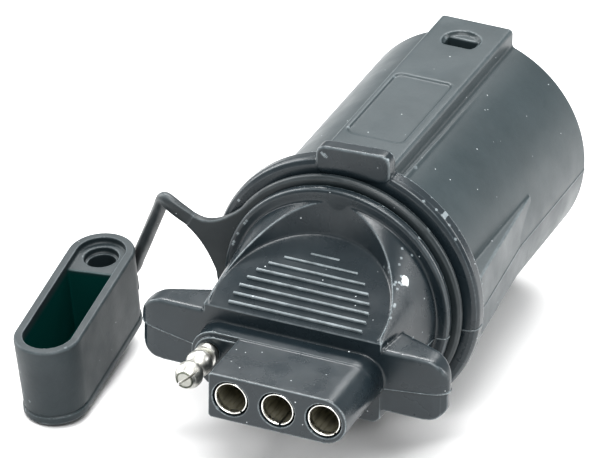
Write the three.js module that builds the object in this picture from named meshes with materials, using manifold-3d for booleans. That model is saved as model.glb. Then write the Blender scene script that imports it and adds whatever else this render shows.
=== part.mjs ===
// Adapter between a vehicle's 7-way round blade socket and a trailer's 4-way flat lead.
// Millimetres, +Z up. The plug points along +Y and the 4-way flat face looks along -Y.
// The adapter lies on its flange, and the tethered dust cap stands beside it on its closed end.
import * as THREE from 'three';
import { ConvexGeometry } from 'three/addons/geometries/ConvexGeometry.js';
import { mergeVertices } from 'three/addons/utils/BufferGeometryUtils.js';
import Module from 'manifold-3d';

// ---- driving dimensions ----
const PITCH = 9.525;          // terminal pitch of the 4-way flat, 3/8 inch
const LENGTH = 108.2;         // flat face to plug rim
const SHELL_R = 24.1;         // plug barrel
const FLANGE_R = 27.6;
const FLAT_Z = -2.5;          // the flat's centre plane, below the barrel's axis
const GAP = 0.3;              // clearance between fitted pieces
const SIDES = 48;             // facets of the large round pieces

// grip moulding, along Y from the flat face
const PEDESTAL_Y = 13.8;      // front of the full-width pedestal
const WING_Y = 18;            // front of the ears
const LIP_Y = 39.0;           // front of the lip disc
const GROOVE_Y = 40.7;        // tether groove, from the lip's back
const FLANGE_Y = 43.4;        // to the flange's front
const GRIP_END = 46.7;        // back of the flange
const SPIGOT_END = 52;        // end of the spigot inside the shell
const LIP_R = 23.4;
const NECK_R = 21.4;          // bottom of the tether groove
const SHOULDER_R = 21.0;      // where the grip body meets the lip disc
const CHAMBER_R = 17.5;       // wire chamber
const FLAT_H = 4.75;          // half height of the flat block
const FLAT_W = 18.95;         // its half width
const BORE_R = 3.65;          // terminal bores
const EAR_X = 31.7;           // half span of the ears
const EAR_Z = 6.6;            // half height of the ears
const WING_X = 18.3;          // half width of the grip's front
const WING_TOP = 8.0;         // above the flat's centre plane
const WING_LOW = -9.4;
const SCOOP_R = 17.1;         // thumb scoop, round in plan
const SCOOP_Y = 20.2;
const SCOOP_SLOPE = Math.atan(0.404);
const RIBS = 8;               // raised bars on the scoop's floor
const RIB_PITCH = 2.02;
const RIB_Y = 19.6;
const TAB_LEFT = -6.5;        // catch tab, a little off the middle and not quite level
const TAB_RIGHT = 8.8;
const TAB_TOP = 30.2;
const TAB_TURN = THREE.MathUtils.degToRad(-3);
const TAB_BACK = GRIP_END - 0.3;                   // its back, just short of the flange's back

// plug shell
const SHELL_Y = GRIP_END + GAP;
const WALL = 2.6;
const KEY_X = 7.65;           // half width of the key rib
const KEY_AT = 0.35;          // its middle, a little off the axis
const KEY_TOP = 26.3;
const GUSSET_END = 80;
const CARRIER_Y = 66;         // front of the blade carrier
const CARRIER_T = 8;
const WINDOW_AT = new THREE.Vector2(0.4, 99.7);    // latch window near the rim, round with a flat side
const WINDOW_R = 3.85;
const WINDOW_FLAT = 2.7;      // from its centre to the flat side
const WINDOW_DEEP = 0.7;      // depth of its ledge
const SLOT_LEFT = -2.85;      // the slot beside the ledge goes through the wall
const SLOT_RIGHT = 3.45;
const SLOT_END = 101.4;

// terminals, leads and blades
const SLEEVE_R = 3.35;
const SLEEVE_BORE = 2.9;
const TAIL_R = 1.7;
const TAIL_END = 26;
const PIN_X = -14.9;          // the bare pin stands a little outside its nominal pitch
const PIN_Z = FLAT_Z + 0.8;
const PIN_SLOT_TURN = 48;
const SLIT_HALF = 0.25;
const WIRE_R = 1.25;
const BLADE_CIRCLE = 13;
const BLADE_W = 6.6;
const BLADE_T = 1.5;
const BLADE_END = 98;
const BLADE_TAIL = 58;

// tether and dust cap
const RING_IN = NECK_R + GAP;
const RING_OUT = 25.0;
const RING_Y = 41.9;          // middle of the ring
const RING_T = 1.7;
const WEB_TOP = [-31.0, 9.72];     // corners of the web's end in X and Z, where the strap begins
const WEB_LOW = [-32.35, 7.15];
const STRAP_R = 1.4;
const CAP_BASE = 2.0;         // thickness of its closed end
const CAP_H = 17.6;
const CAP_HALF = 14.35;       // half distance between the centres of its round ends
const CAP_R = 6.75;           // outer radius of the round ends at the rim
const CAP_IN = 4.95;          // the same inside
const CAP_FOOT = 6.3;         // outer radius at the closed end
const CAP_AT = new THREE.Vector2(-50.9, 34.4);
const CAP_YAW = THREE.MathUtils.degToRad(4);
const CAP_TILT = THREE.MathUtils.degToRad(5.6);    // the strap holds the far end up a little
const CAP_LEAN = THREE.MathUtils.degToRad(-4.2);
const FLOOR = -FLANGE_R * Math.cos(Math.PI / SIDES);

const wasm = await Module();
wasm.setup();

// ---- solids ----
function solid(geometry) {
  const g = geometry.clone();
  for (const name of Object.keys(g.attributes)) if (name !== 'position') g.deleteAttribute(name);
  const merged = mergeVertices(g, 1e-4);
  return new wasm.Manifold(new wasm.Mesh({
    numProp: 3,
    vertProperties: new Float32Array(merged.attributes.position.array),
    triVerts: new Uint32Array(merged.index.array),
  }));
}

// The finest detail that a boolean may leave, in millimetres.
const FINEST = 0.02;

function geometryOf(manifold) {
  const mesh = manifold.simplify(FINEST).getMesh();
  const g = new THREE.BufferGeometry();
  g.setAttribute('position', new THREE.BufferAttribute(new Float32Array(mesh.vertProperties), 3));
  g.setIndex(new THREE.BufferAttribute(new Uint32Array(mesh.triVerts), 1));
  return g;
}

const joined = (...parts) => parts.reduce((a, b) => a.add(b));
const cut = (body, ...tools) => tools.reduce((a, b) => a.subtract(b), body);

// An outline in X and Z, pushed along Y.
function prism(outline, y0, y1, segments = 8) {
  const options = { depth: y1 - y0, bevelEnabled: false, curveSegments: segments };
  const g = new THREE.ExtrudeGeometry(outline, options);
  return solid(g.rotateX(Math.PI / 2).translate(0, y1, 0));
}

function roundedRect(x0, x1, z0, z1, r) {
  const s = new THREE.Shape();
  s.moveTo(x0 + r, z0);
  s.lineTo(x1 - r, z0);
  s.absarc(x1 - r, z0 + r, r, -Math.PI / 2, 0);
  s.lineTo(x1, z1 - r);
  s.absarc(x1 - r, z1 - r, r, 0, Math.PI / 2);
  s.lineTo(x0 + r, z1);
  s.absarc(x0 + r, z1 - r, r, Math.PI / 2, Math.PI);
  s.lineTo(x0, z0 + r);
  s.absarc(x0 + r, z0 + r, r, Math.PI, 1.5 * Math.PI);
  return s;
}

const stadium = (halfX, halfZ, z = 0) => roundedRect(-halfX, halfX, z - halfZ, z + halfZ, halfZ - 0.01);

// A profile of radius against Y, turned about the barrel's axis.
function turned(profile, sides = SIDES, x = 0, z = 0) {
  const points = profile.map(([r, y]) => new THREE.Vector2(r, y));
  const g = new THREE.LatheGeometry(points, sides, Math.PI / sides);
  return solid(g.translate(x, 0, z));
}

const rod = (r, y0, y1, sides = SIDES, x = 0, z = 0) =>
  turned([[0, y0], [r, y0], [r, y1], [0, y1]], sides, x, z);

function box(x0, x1, y0, y1, z0, z1) {
  const g = new THREE.BoxGeometry(x1 - x0, y1 - y0, z1 - z0);
  return solid(g.translate((x0 + x1) / 2, (y0 + y1) / 2, (z0 + z1) / 2));
}

// ---- the scene graph ----
const group = new THREE.Group();
group.name = 'trailer_wiring_connector';
const adapter = new THREE.Group();
adapter.position.set(0, -LENGTH / 2, -FLOOR);
group.add(adapter);

function place(name, body, color, roughness, metalness = 0, parent = adapter) {
  const geometry = body.isBufferGeometry ? body : geometryOf(body);
  const material = new THREE.MeshStandardMaterial({ color, roughness, metalness, flatShading: true });
  const mesh = new THREE.Mesh(geometry, material);
  mesh.name = name;
  parent.add(mesh);
  return mesh;
}

const DARK = 0x2b2e33;
const SHELL = 0x5c6064;
const NICKEL = 0xcfcdc6;
const BRASS = 0xb08d4a;

// ---- grip moulding ----
function gripBody() {
  const outline = [];
  const low = FLAT_Z + WING_LOW;
  const top = FLAT_Z + WING_TOP;
  for (const x of [-WING_X, WING_X]) {
    outline.push(new THREE.Vector3(x, WING_Y, low + 1), new THREE.Vector3(x, WING_Y, top));
    outline.push(new THREE.Vector3(x * 0.93, WING_Y, low));
  }
  for (let i = 0; i < SIDES; i++) {
    const a = ((i + 0.5) / SIDES) * 2 * Math.PI;
    outline.push(new THREE.Vector3(SHOULDER_R * Math.sin(a), LIP_Y + 0.5, SHOULDER_R * Math.cos(a)));
  }
  return solid(new ConvexGeometry(outline));
}

const scoopFloor = (y) => FLAT_Z + WING_TOP + (y - WING_Y) * Math.tan(SCOOP_SLOPE);

// A drafted round cutter standing on the scoop's sloping floor.
function scoopCutter() {
  const height = 24;
  const draft = height * Math.tan(THREE.MathUtils.degToRad(7));
  const round = new THREE.CylinderGeometry(SCOOP_R + draft, SCOOP_R, height, SIDES);
  round.rotateX(Math.PI / 2).translate(0, SCOOP_Y, scoopFloor(SCOOP_Y) + 2 + height / 2);
  const stem = new THREE.CylinderGeometry(SCOOP_R, SCOOP_R, 14, SIDES);
  stem.rotateX(Math.PI / 2).translate(0, SCOOP_Y, scoopFloor(SCOOP_Y) + 2 - 7 + 0.01);
  const above = new THREE.BoxGeometry(80, 80, 60);
  above.translate(0, 0, 30).rotateX(SCOOP_SLOPE).translate(0, WING_Y, scoopFloor(WING_Y));
  return joined(solid(round), solid(stem)).intersect(solid(above));
}

// One raised bar across the scoop's floor, shorter towards the back.
function scoopRib(i) {
  const y = RIB_Y + i * RIB_PITCH;
  const half = Math.sqrt(13.9 ** 2 - (y - SCOOP_Y) ** 2);
  const g = new THREE.BoxGeometry(2 * half, 0.8, 1.2);
  return solid(g.rotateX(SCOOP_SLOPE).translate(0, y, scoopFloor(y) - 0.1));
}

// Ears: tapering towards their tips in plan, with round corners in front view.
function ears() {
  const plan = new THREE.Shape();
  plan.moveTo(-EAR_X + 2.6, WING_Y);
  plan.lineTo(EAR_X - 2.6, WING_Y);
  plan.quadraticCurveTo(EAR_X, WING_Y + 0.3, EAR_X, WING_Y + 2.4);
  plan.quadraticCurveTo(EAR_X, WING_Y + 3.6, EAR_X - 1.6, WING_Y + 4.2);
  plan.lineTo(WING_X, WING_Y + 9);
  plan.lineTo(-WING_X, WING_Y + 9);
  plan.lineTo(-EAR_X + 1.6, WING_Y + 4.2);
  plan.quadraticCurveTo(-EAR_X, WING_Y + 3.6, -EAR_X, WING_Y + 2.4);
  plan.quadraticCurveTo(-EAR_X, WING_Y + 0.3, -EAR_X + 2.6, WING_Y);
  const slab = new THREE.ExtrudeGeometry(plan, { depth: 20, bevelEnabled: false, curveSegments: 4 });
  const front = roundedRect(-EAR_X, EAR_X, FLAT_Z - EAR_Z, FLAT_Z + EAR_Z, 4.6);
  return solid(slab.translate(0, 0, FLAT_Z - 10)).intersect(prism(front, WING_Y - 1, WING_Y + 11, 6));
}

function flatBlock() {
  const half = -PITCH * 0.97;
  const front = roundedRect(half, FLAT_W + 8, FLAT_Z - FLAT_H, FLAT_Z + FLAT_H, 0.5);
  const nose = prism(front, 0, PEDESTAL_Y + 1, 2)
    .intersect(prism(stadium(FLAT_W, FLAT_H + 0.01, FLAT_Z), -1, WING_Y, 8));
  const step = prism(stadium(FLAT_W - 0.9, FLAT_H - 0.6, FLAT_Z), PEDESTAL_Y - 0.8, WING_Y, 8);
  return joined(nose, step, prism(stadium(FLAT_W, FLAT_H + 0.15, FLAT_Z), PEDESTAL_Y, WING_Y + 1, 8));
}

function flange() {
  const disc = turned([
    [0, LIP_Y], [LIP_R - 1.0, LIP_Y], [LIP_R, LIP_Y + 0.8], [LIP_R, GROOVE_Y], [NECK_R, GROOVE_Y],
    [NECK_R, FLANGE_Y], [FLANGE_R - 1.4, FLANGE_Y], [FLANGE_R, FLANGE_Y + 1.2], [FLANGE_R, GRIP_END],
    [SHELL_R - WALL - GAP, GRIP_END], [SHELL_R - WALL - GAP, SPIGOT_END], [0, SPIGOT_END],
  ]);
  const tab = new THREE.ExtrudeGeometry(roundedRect(TAB_LEFT, TAB_RIGHT, -6, 0, 1.9), {
    depth: TAB_BACK - FLANGE_Y + 0.2, bevelEnabled: false, curveSegments: 4,
  });
  tab.rotateX(Math.PI / 2).rotateY(TAB_TURN).translate(0, TAB_BACK, TAB_TOP);
  return joined(disc, solid(tab));
}

const socketXs = [-PITCH / 2, PITCH / 2, 1.5 * PITCH];

function gripHousing() {
  let body = cut(gripBody(), scoopCutter());
  for (let i = 0; i < RIBS; i++) body = body.add(scoopRib(i));
  body = joined(body, ears(), flatBlock(), flange());
  const chamber = joined(
    prism(stadium(17.8, 4.2, FLAT_Z), 16.5, LIP_Y + 2, 8),
    rod(CHAMBER_R, LIP_Y + 1, SPIGOT_END + 1),
  );
  const bores = socketXs.map((x) => rod(BORE_R, -1, 17, 16, x, FLAT_Z));
  const pinBore = rod(2.1, PEDESTAL_Y - 1, 17, 16, PIN_X, PIN_Z);
  return cut(body, chamber, pinBore, ...bores);
}

// ---- plug shell ----
function gusset(side) {
  const plan = new THREE.Shape();
  plan.moveTo(SHELL_R - 2.4, SHELL_Y);
  plan.lineTo(SHELL_R + 2.6, SHELL_Y);
  plan.lineTo(SHELL_R + 2.2, SHELL_Y + 4);
  plan.lineTo(SHELL_R - 0.6, GUSSET_END);
  plan.lineTo(SHELL_R - 2.4, GUSSET_END);
  const wedge = new THREE.ExtrudeGeometry(plan, { depth: 14, bevelEnabled: false });
  wedge.translate(0, 0, -7);
  if (side < 0) wedge.rotateY(Math.PI);
  const face = prism(roundedRect(-40, 40, -6.9, 6.9, 1), SHELL_Y - 1, GUSSET_END + 1, 2);
  return solid(wedge).intersect(face);
}

// A low strip under the key rib that sinks into the barrel towards the rim.
function keyStrip() {
  const points = [];
  for (const [y, top] of [[SHELL_Y, SHELL_R - 1.4], [LENGTH - 1, SHELL_R - 2]]) {
    for (const side of [-1, 1]) {
      const x = KEY_AT + side * (KEY_X + 1.2);
      points.push(new THREE.Vector3(x, y, 18), new THREE.Vector3(x, y, top));
    }
  }
  return solid(new ConvexGeometry(points));
}

function latchWindow() {
  const round = new THREE.CylinderGeometry(WINDOW_R, WINDOW_R, 20, 24);
  round.rotateX(Math.PI / 2).translate(WINDOW_AT.x, WINDOW_AT.y, KEY_TOP);
  const flat = WINDOW_AT.y - WINDOW_FLAT;
  const outline = cut(solid(round), box(-6, 6, flat - 4, flat, 10, 40));
  return joined(outline.intersect(box(-6, 6, flat - 1, LENGTH, KEY_TOP - WINDOW_DEEP, 40)),
    outline.intersect(box(SLOT_LEFT, SLOT_RIGHT, flat - 1, SLOT_END, 17, 40)));
}

function plugShell() {
  const inner = SHELL_R - WALL;
  const tube = turned([
    [inner, SHELL_Y], [SHELL_R, SHELL_Y], [SHELL_R, LENGTH], [inner, LENGTH],
    [inner, CARRIER_Y - GAP], [inner - 2, CARRIER_Y - GAP], [inner - 2, CARRIER_Y - 2.6],
    [inner, CARRIER_Y - 4.6], [inner, SHELL_Y],
  ]);
  const key = prism(roundedRect(KEY_AT - KEY_X, KEY_AT + KEY_X, 18, KEY_TOP, 0.8), SHELL_Y, LENGTH, 3);
  const strip = keyStrip();
  const hollow = joined(rod(inner, SHELL_Y - 1, CARRIER_Y - 4.6), rod(inner - 2, SHELL_Y, LENGTH - 1),
    rod(inner, CARRIER_Y - GAP, LENGTH + 1));
  const body = joined(tube, cut(joined(key, strip, gusset(1), gusset(-1)), hollow));
  const panel = prism(roundedRect(-6, 6, KEY_TOP - 0.35, KEY_TOP + 1, 0.1), 56.5, 82.5, 1);
  return cut(body, panel, latchWindow());
}

// ---- inner pieces ----
const bladeAngles = { ground: 210, tail: 150, left: 30, right: 330 };
const polar = (angle, r = BLADE_CIRCLE) => {
  const a = THREE.MathUtils.degToRad(angle);
  return new THREE.Vector2(r * Math.sin(a), r * Math.cos(a));
};

function bladeCutter(angle, half, width, y0, y1) {
  const at = polar(angle);
  const g = new THREE.BoxGeometry(2 * width, y1 - y0, 2 * half);
  g.rotateY(THREE.MathUtils.degToRad(angle)).translate(at.x, (y0 + y1) / 2, at.y);
  return solid(g);
}

function bladeCarrier() {
  const r = SHELL_R - WALL - GAP;
  const end = CARRIER_Y + CARRIER_T;
  const disc = turned([
    [0, CARRIER_Y], [r, CARRIER_Y], [r, end], [r - 3, end], [r - 3.6, end + 1.4],
    [5.4, end + 1.4], [5.0, end + 6], [2.6, end + 6], [2.6, end + 1], [0, end + 1],
  ]);
  const slots = Object.values(bladeAngles)
    .map((a) => bladeCutter(a, BLADE_T / 2 + GAP, BLADE_W / 2 + GAP, CARRIER_Y - 1, end + 3));
  const blanks = [90, 270].map((a) => bladeCutter(a, 1.1, 3.5, CARRIER_Y + 3, end + 3));
  return cut(disc, ...slots, ...blanks);
}

function pottingDisc() {
  const y0 = CARRIER_Y - 2.6 + GAP;
  const disc = rod(SHELL_R - WALL - 2 - GAP, y0, CARRIER_Y - GAP);
  return cut(disc, ...Object.values(bladeAngles)
    .map((a) => bladeCutter(a, BLADE_T / 2 + GAP, BLADE_W / 4 + GAP, y0 - 1, CARRIER_Y + 1)));
}

// A flat blade with a tapered tip and a narrower tail for its lead.
function blade(angle) {
  const w = BLADE_W / 2;
  const shoulder = CARRIER_Y + 0.6;
  const side = new THREE.Shape();
  side.moveTo(-w / 2, BLADE_TAIL);
  side.lineTo(w / 2, BLADE_TAIL);
  side.lineTo(w / 2, shoulder);
  side.lineTo(w, shoulder);
  side.lineTo(w, BLADE_END - 2);
  side.lineTo(w - 1.4, BLADE_END);
  side.lineTo(-w + 1.4, BLADE_END);
  side.lineTo(-w, BLADE_END - 2);
  side.lineTo(-w, shoulder);
  side.lineTo(-w / 2, shoulder);
  const g = new THREE.ExtrudeGeometry(side, {
    depth: BLADE_T - 0.5, bevelEnabled: true, bevelSegments: 1,
    bevelSize: 0.25, bevelThickness: 0.25, bevelOffset: -0.25,
  });
  const at = polar(angle);
  g.translate(0, 0, -(BLADE_T - 0.5) / 2).rotateY(THREE.MathUtils.degToRad(angle)).translate(at.x, 0, at.y);
  return solid(g);
}

function terminalHolder() {
  const body = prism(stadium(17.4, 3.8, FLAT_Z), 17.0, 25.0, 8);
  const holes = [...socketXs.map((x) => [x, FLAT_Z]), [PIN_X, PIN_Z]]
    .map(([x, z]) => rod(TAIL_R + GAP, 16, 26, 12, x, z));
  return cut(body, ...holes);
}

// A split sleeve with a narrower closed tail. Its slit is turned from straight down towards +X.
function socketSleeve(x, slitTurn) {
  const sleeve = turned([
    [0, 15.2], [SLEEVE_BORE, 15.2], [SLEEVE_BORE, 0.3], [SLEEVE_R, 0.3], [SLEEVE_R, 16.2], [TAIL_R, 16.6],
    [TAIL_R, TAIL_END], [0, TAIL_END],
  ], 24, x, FLAT_Z);
  return cut(sleeve, turnedBox(x, FLAT_Z, -5, -2, 11, -slitTurn));
}

// A thin upright box from z0 to z1 beside a terminal's middle, turned about the terminal's line.
function turnedBox(x, z, z0, z1, y1, degrees) {
  const slit = new THREE.BoxGeometry(2 * SLIT_HALF, y1, z1 - z0).translate(0, y1 / 2, (z0 + z1) / 2);
  return solid(slit.rotateY(THREE.MathUtils.degToRad(degrees)).translate(x, 0, z));
}

// The bare pin: two ball heads with a neck between, a slotted tip and a waisted shank.
function groundPin() {
  const profile = [[0, 1.2], [1.5, 1.2]];
  const ball = (y, r) => {
    for (let i = 1; i < 6; i++) {
      const a = Math.PI * (i / 6 + 0.04);
      profile.push([r * Math.sin(a), y - r * Math.cos(a)]);
    }
  };
  ball(3.9, 2.7);
  ball(8.5, 2.6);
  profile.push([1.9, 11.0], [2.3, 11.2], [2.3, 12.4], [TAIL_R, 12.8], [TAIL_R, TAIL_END], [0, TAIL_END]);
  const pin = turned(profile, 20, PIN_X, PIN_Z);
  return cut(pin, turnedBox(PIN_X, PIN_Z, -4, 4, 3.6, PIN_SLOT_TURN));
}

// A smooth tube along a list of points.
function tube(points, radius, steps, sides = 8) {
  const curve = new THREE.CatmullRomCurve3(points, false, 'centripetal');
  const section = new THREE.Shape();
  for (let i = 0; i < sides; i++) {
    const a = (i / sides) * 2 * Math.PI;
    const [x, y] = [radius * Math.cos(a), radius * Math.sin(a)];
    if (i === 0) section.moveTo(x, y);
    else section.lineTo(x, y);
  }
  return solid(new THREE.ExtrudeGeometry(section, { steps, extrudePath: curve, bevelEnabled: false }));
}

// A lead from a terminal's tail to a blade's tail. It runs level through the grip, then fans out.
function lead(x, z, angle) {
  const end = polar(angle);
  const y0 = TAIL_END + GAP;
  const y1 = BLADE_TAIL - GAP;
  const ease = (y, from) => {
    const t = THREE.MathUtils.clamp((y - from) / (y1 - from), 0, 1);
    return t * t * (3 - 2 * t);
  };
  const points = [0, 0.13, 0.28, 0.42, 0.58, 0.74, 0.88, 1].map((t) => {
    const y = y0 + (y1 - y0) * t;
    return new THREE.Vector3(x + (end.x - x) * ease(y, y0), y, z + (end.y - z) * ease(y, LIP_Y));
  });
  return tube(points, WIRE_R, 14);
}

// ---- tether and dust cap ----
// The ring and its web, a flat plate with hollow sides that narrows to the strap.
function tetherRing() {
  const y0 = RING_Y - RING_T / 2;
  const y1 = RING_Y + RING_T / 2;
  const ring = turned([
    [RING_IN, y0], [RING_OUT - 0.5, y0], [RING_OUT, y0 + 0.5], [RING_OUT, y1 - 0.4], [RING_OUT - 0.4, y1],
    [RING_IN, y1], [RING_IN, y0],
  ]);
  const web = new THREE.Shape();
  web.moveTo(-17.4, 17.6);
  web.bezierCurveTo(-24.0, 9.2, -28.36, 8.29, ...WEB_TOP);
  web.lineTo(...WEB_LOW);
  web.bezierCurveTo(-29.5, 5.2, -26.6, 1.8, -24.3, -6.0);
  web.lineTo(-23.4, 0);
  web.lineTo(-20.8, 10);
  const plate = cut(prism(web, y0, y1, 8), rod(RING_IN + 0.8, y0 - 1, y1 + 1));
  return joined(ring, plate);
}

// The cap's own frame: origin at the middle of its closed end, long axis along Y, open side up.
const LUG_ANGLE = THREE.MathUtils.degToRad(74);    // where the strap meets the far round end
const LUG_TOP = 7.0;
const LUG_OUT = 1.5;          // strap centreline, out from the wall

function capOutline(radius) {
  const s = new THREE.Shape();
  s.absarc(0, CAP_HALF, radius, 0, Math.PI);
  s.absarc(0, -CAP_HALF, radius, Math.PI, 2 * Math.PI);
  return s;
}

// A solid with a stadium section at each given height, straight between them.
function capLoft(sections) {
  const points = [];
  for (const [radius, z] of sections) {
    for (const p of capOutline(radius).getPoints(12)) points.push(new THREE.Vector3(p.x, p.y, z));
  }
  return solid(new ConvexGeometry(points));
}

function capBody() {
  const band = 2.2;
  const wall = capLoft([[CAP_FOOT, band - 0.6], [CAP_R, CAP_H]]);
  const foot = capLoft([[CAP_FOOT - 0.6, 0], [CAP_FOOT + 0.25, 0.8], [CAP_FOOT + 0.25, band]]);
  const lug = solid(new THREE.BoxGeometry(2 * (LUG_OUT + 0.8), 2.4, 3.4)
    .translate(CAP_R, 0, LUG_TOP - 1.7).rotateZ(LUG_ANGLE).translate(0, CAP_HALF, 0));
  const cavity = capLoft([[CAP_IN - 0.15, CAP_BASE], [CAP_IN, CAP_H + 1]]);
  const pinBoss = box(-CAP_R, CAP_R, CAP_HALF - 5.6, CAP_HALF + 6, CAP_BASE - 1, CAP_H - 1.3)
    .intersect(capLoft([[CAP_IN + 0.6, 0], [CAP_IN + 0.6, CAP_H]]));
  const hole = (r, z0, z1) => solid(
    new THREE.CylinderGeometry(r, r, z1 - z0, 20).rotateX(Math.PI / 2).translate(0, CAP_HALF, (z0 + z1) / 2));
  const shell = joined(cut(joined(wall, foot, lug), cavity), pinBoss);
  return cut(shell, hole(3.45, CAP_H - 2.6, CAP_H + 1), hole(2.8, 3.2, CAP_H));
}

// Turns geometry from the cap's frame to where the cap stands.
function standCap(geometry) {
  return geometry.rotateY(CAP_LEAN).rotateX(CAP_TILT).rotateZ(CAP_YAW);
}
const capGeometry = standCap(geometryOf(capBody()));
capGeometry.computeBoundingBox();
const capOrigin = new THREE.Vector3(CAP_AT.x, CAP_AT.y, FLOOR - capGeometry.boundingBox.min.z);
capGeometry.translate(...capOrigin);

const onCap = (x, y, z) => {
  const g = new THREE.BufferGeometry().setFromPoints([new THREE.Vector3(x, y, z)]);
  return new THREE.Vector3().fromBufferAttribute(standCap(g).attributes.position, 0).add(capOrigin);
};
const lugX = (CAP_R + LUG_OUT) * Math.cos(LUG_ANGLE);
const lugY = CAP_HALF + (CAP_R + LUG_OUT) * Math.sin(LUG_ANGLE);

// Out of the web, over the tight bend and down to the lug on the cap.
const STRAP_POINTS = [
  new THREE.Vector3(-31.94, RING_Y, 8.58),
  new THREE.Vector3(-32.55, RING_Y, 8.91),
  new THREE.Vector3(-33.51, RING_Y, 9.4),
  new THREE.Vector3(-34.91, RING_Y + 0.05, 10.14),
  new THREE.Vector3(-36.27, RING_Y + 0.25, 10.8),
  new THREE.Vector3(-37.29, RING_Y + 0.6, 11.04),
  new THREE.Vector3(-38.1, RING_Y + 1.2, 10.5),
  new THREE.Vector3(-38.91, RING_Y + 2.1, 8.95),
  new THREE.Vector3(-39.95, RING_Y + 3.45, 6.75),
  new THREE.Vector3(-41.6, RING_Y + 5.15, 3.3),
  new THREE.Vector3(-43.6, RING_Y + 7.2, -0.9),
  new THREE.Vector3(-45.6, RING_Y + 9.3, -5.1),
  new THREE.Vector3(-48.04, RING_Y + 12.1, -9.93),
  new THREE.Vector3(-49.5, RING_Y + 13.4, -13.2),
  onCap(lugX, lugY, LUG_TOP + 1),
  onCap(lugX, lugY, LUG_TOP + GAP),
];

// ---- assembly ----
place('grip_housing', gripHousing(), DARK, 0.38);
place('plug_shell', plugShell(), SHELL, 0.5);
place('blade_carrier', bladeCarrier(), 0x1d1f21, 0.6);
place('potting_disc', pottingDisc(), 0x151515, 0.3);
place('terminal_holder', terminalHolder(), 0x303236, 0.6);

// each circuit's name, its terminal's x and z, its lead's colour and its sleeve's slit turn in degrees
const leads = [
  ['right', socketXs[0], FLAT_Z, 0x2f7d3a, 43],
  ['left', socketXs[1], FLAT_Z, 0xd9b31c, 10],
  ['tail', socketXs[2], FLAT_Z, 0x6b4426, 46],
  ['ground', PIN_X, PIN_Z, 0xe6e4de],
];
for (const [name, x, z, color, slitTurn] of leads) {
  place(`blade_${name}`, blade(bladeAngles[name]), BRASS, 0.35, 1);
  place(`wire_${name}`, lead(x, z, bladeAngles[name]), color, 0.5);
  if (name !== 'ground') place(`socket_${name}`, socketSleeve(x, slitTurn), NICKEL, 0.25, 1);
}
place('ground_pin', groundPin(), NICKEL, 0.25, 1);

place('tether_ring', tetherRing(), DARK, 0.45);
place('tether_strap', tube(STRAP_POINTS, STRAP_R, 24, 8), DARK, 0.45);
place('dust_cap', capGeometry, 0x3a3c40, 0.55);

export default group;
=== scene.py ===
"""Looks for the trailer wiring adapter: softened mouldings, plated terminals and a tethered rubber cap.

Shapes are built in millimetres in the barrel's own frame: the barrel's axis is X = Z = 0, the flat
face is Y = 0 and the plug points along +Y. to_row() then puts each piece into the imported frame.
"""
import math

import bmesh
import bpy
from mathutils import Matrix, Vector


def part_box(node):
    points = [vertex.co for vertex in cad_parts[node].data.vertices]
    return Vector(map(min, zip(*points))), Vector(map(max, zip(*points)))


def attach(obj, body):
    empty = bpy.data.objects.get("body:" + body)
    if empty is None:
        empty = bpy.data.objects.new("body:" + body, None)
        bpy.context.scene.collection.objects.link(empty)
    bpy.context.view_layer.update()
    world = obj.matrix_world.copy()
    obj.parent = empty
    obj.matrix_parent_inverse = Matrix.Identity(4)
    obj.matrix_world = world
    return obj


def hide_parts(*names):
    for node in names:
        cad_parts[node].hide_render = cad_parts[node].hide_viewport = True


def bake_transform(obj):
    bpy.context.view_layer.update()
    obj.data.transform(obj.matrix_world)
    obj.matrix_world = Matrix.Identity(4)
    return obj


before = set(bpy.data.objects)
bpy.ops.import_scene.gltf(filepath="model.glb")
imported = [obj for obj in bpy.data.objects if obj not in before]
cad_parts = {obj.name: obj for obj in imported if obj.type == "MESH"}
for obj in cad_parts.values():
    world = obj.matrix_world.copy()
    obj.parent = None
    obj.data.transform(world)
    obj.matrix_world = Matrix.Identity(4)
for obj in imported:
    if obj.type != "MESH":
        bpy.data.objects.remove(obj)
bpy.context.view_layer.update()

# ---- the barrel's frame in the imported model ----
MM = 0.001
DISC_LOW, DISC_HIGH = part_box("potting_disc")
GRIP_LOW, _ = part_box("grip_housing")
ORIGIN = Vector((0, GRIP_LOW[1], (DISC_LOW[2] + DISC_HIGH[2]) / 2))
GAP = 0.3
TO_ROW = Matrix.Translation(ORIGIN) @ Matrix.Scale(MM, 4)
FLOOR_MM = -ORIGIN.z / MM


def row(x, y, z):
    """A point of the barrel's frame, in the row frame in metres."""
    return TO_ROW @ Vector((x, y, z))


# ---- camera ----
AZIMUTH, ELEVATION, ROLL = (math.radians(a) for a in (22.606, 30.285, 1.028))
DISTANCE = 1.48435
LENS, SENSOR = 463.65, 36
TARGET = Vector((0, -0.0091, 0.02504))      # a point inside the flange
AIM_LEFT, AIM_UP = 0.009124, 0.012658       # how far beside the target the picture's middle lies


def make_camera():
    """A long lens on the part's front right, with the dust cap at the picture's left."""
    back = Vector((math.sin(AZIMUTH) * math.cos(ELEVATION), -math.cos(AZIMUTH) * math.cos(ELEVATION),
                   math.sin(ELEVATION)))
    right = Vector((math.cos(AZIMUTH), math.sin(AZIMUTH), 0))
    up = back.cross(right)
    right, up = (math.cos(ROLL) * right + math.sin(ROLL) * up,
                 math.cos(ROLL) * up - math.sin(ROLL) * right)
    data = bpy.data.cameras.new("camera")
    data.sensor_width = SENSOR
    data.lens = LENS
    data.clip_start, data.clip_end = 0.1, 10
    camera = bpy.data.objects.new("camera", data)
    bpy.context.collection.objects.link(camera)
    place = TARGET + back * DISTANCE
    back = (place - (TARGET - right * AIM_LEFT + up * AIM_UP)).normalized()
    right = (right - back * right.dot(back)).normalized()
    basis = Matrix((right, back.cross(right), back)).transposed().to_4x4()
    camera.matrix_world = Matrix.Translation(place) @ basis
    bpy.context.scene.camera = camera


make_camera()


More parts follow.
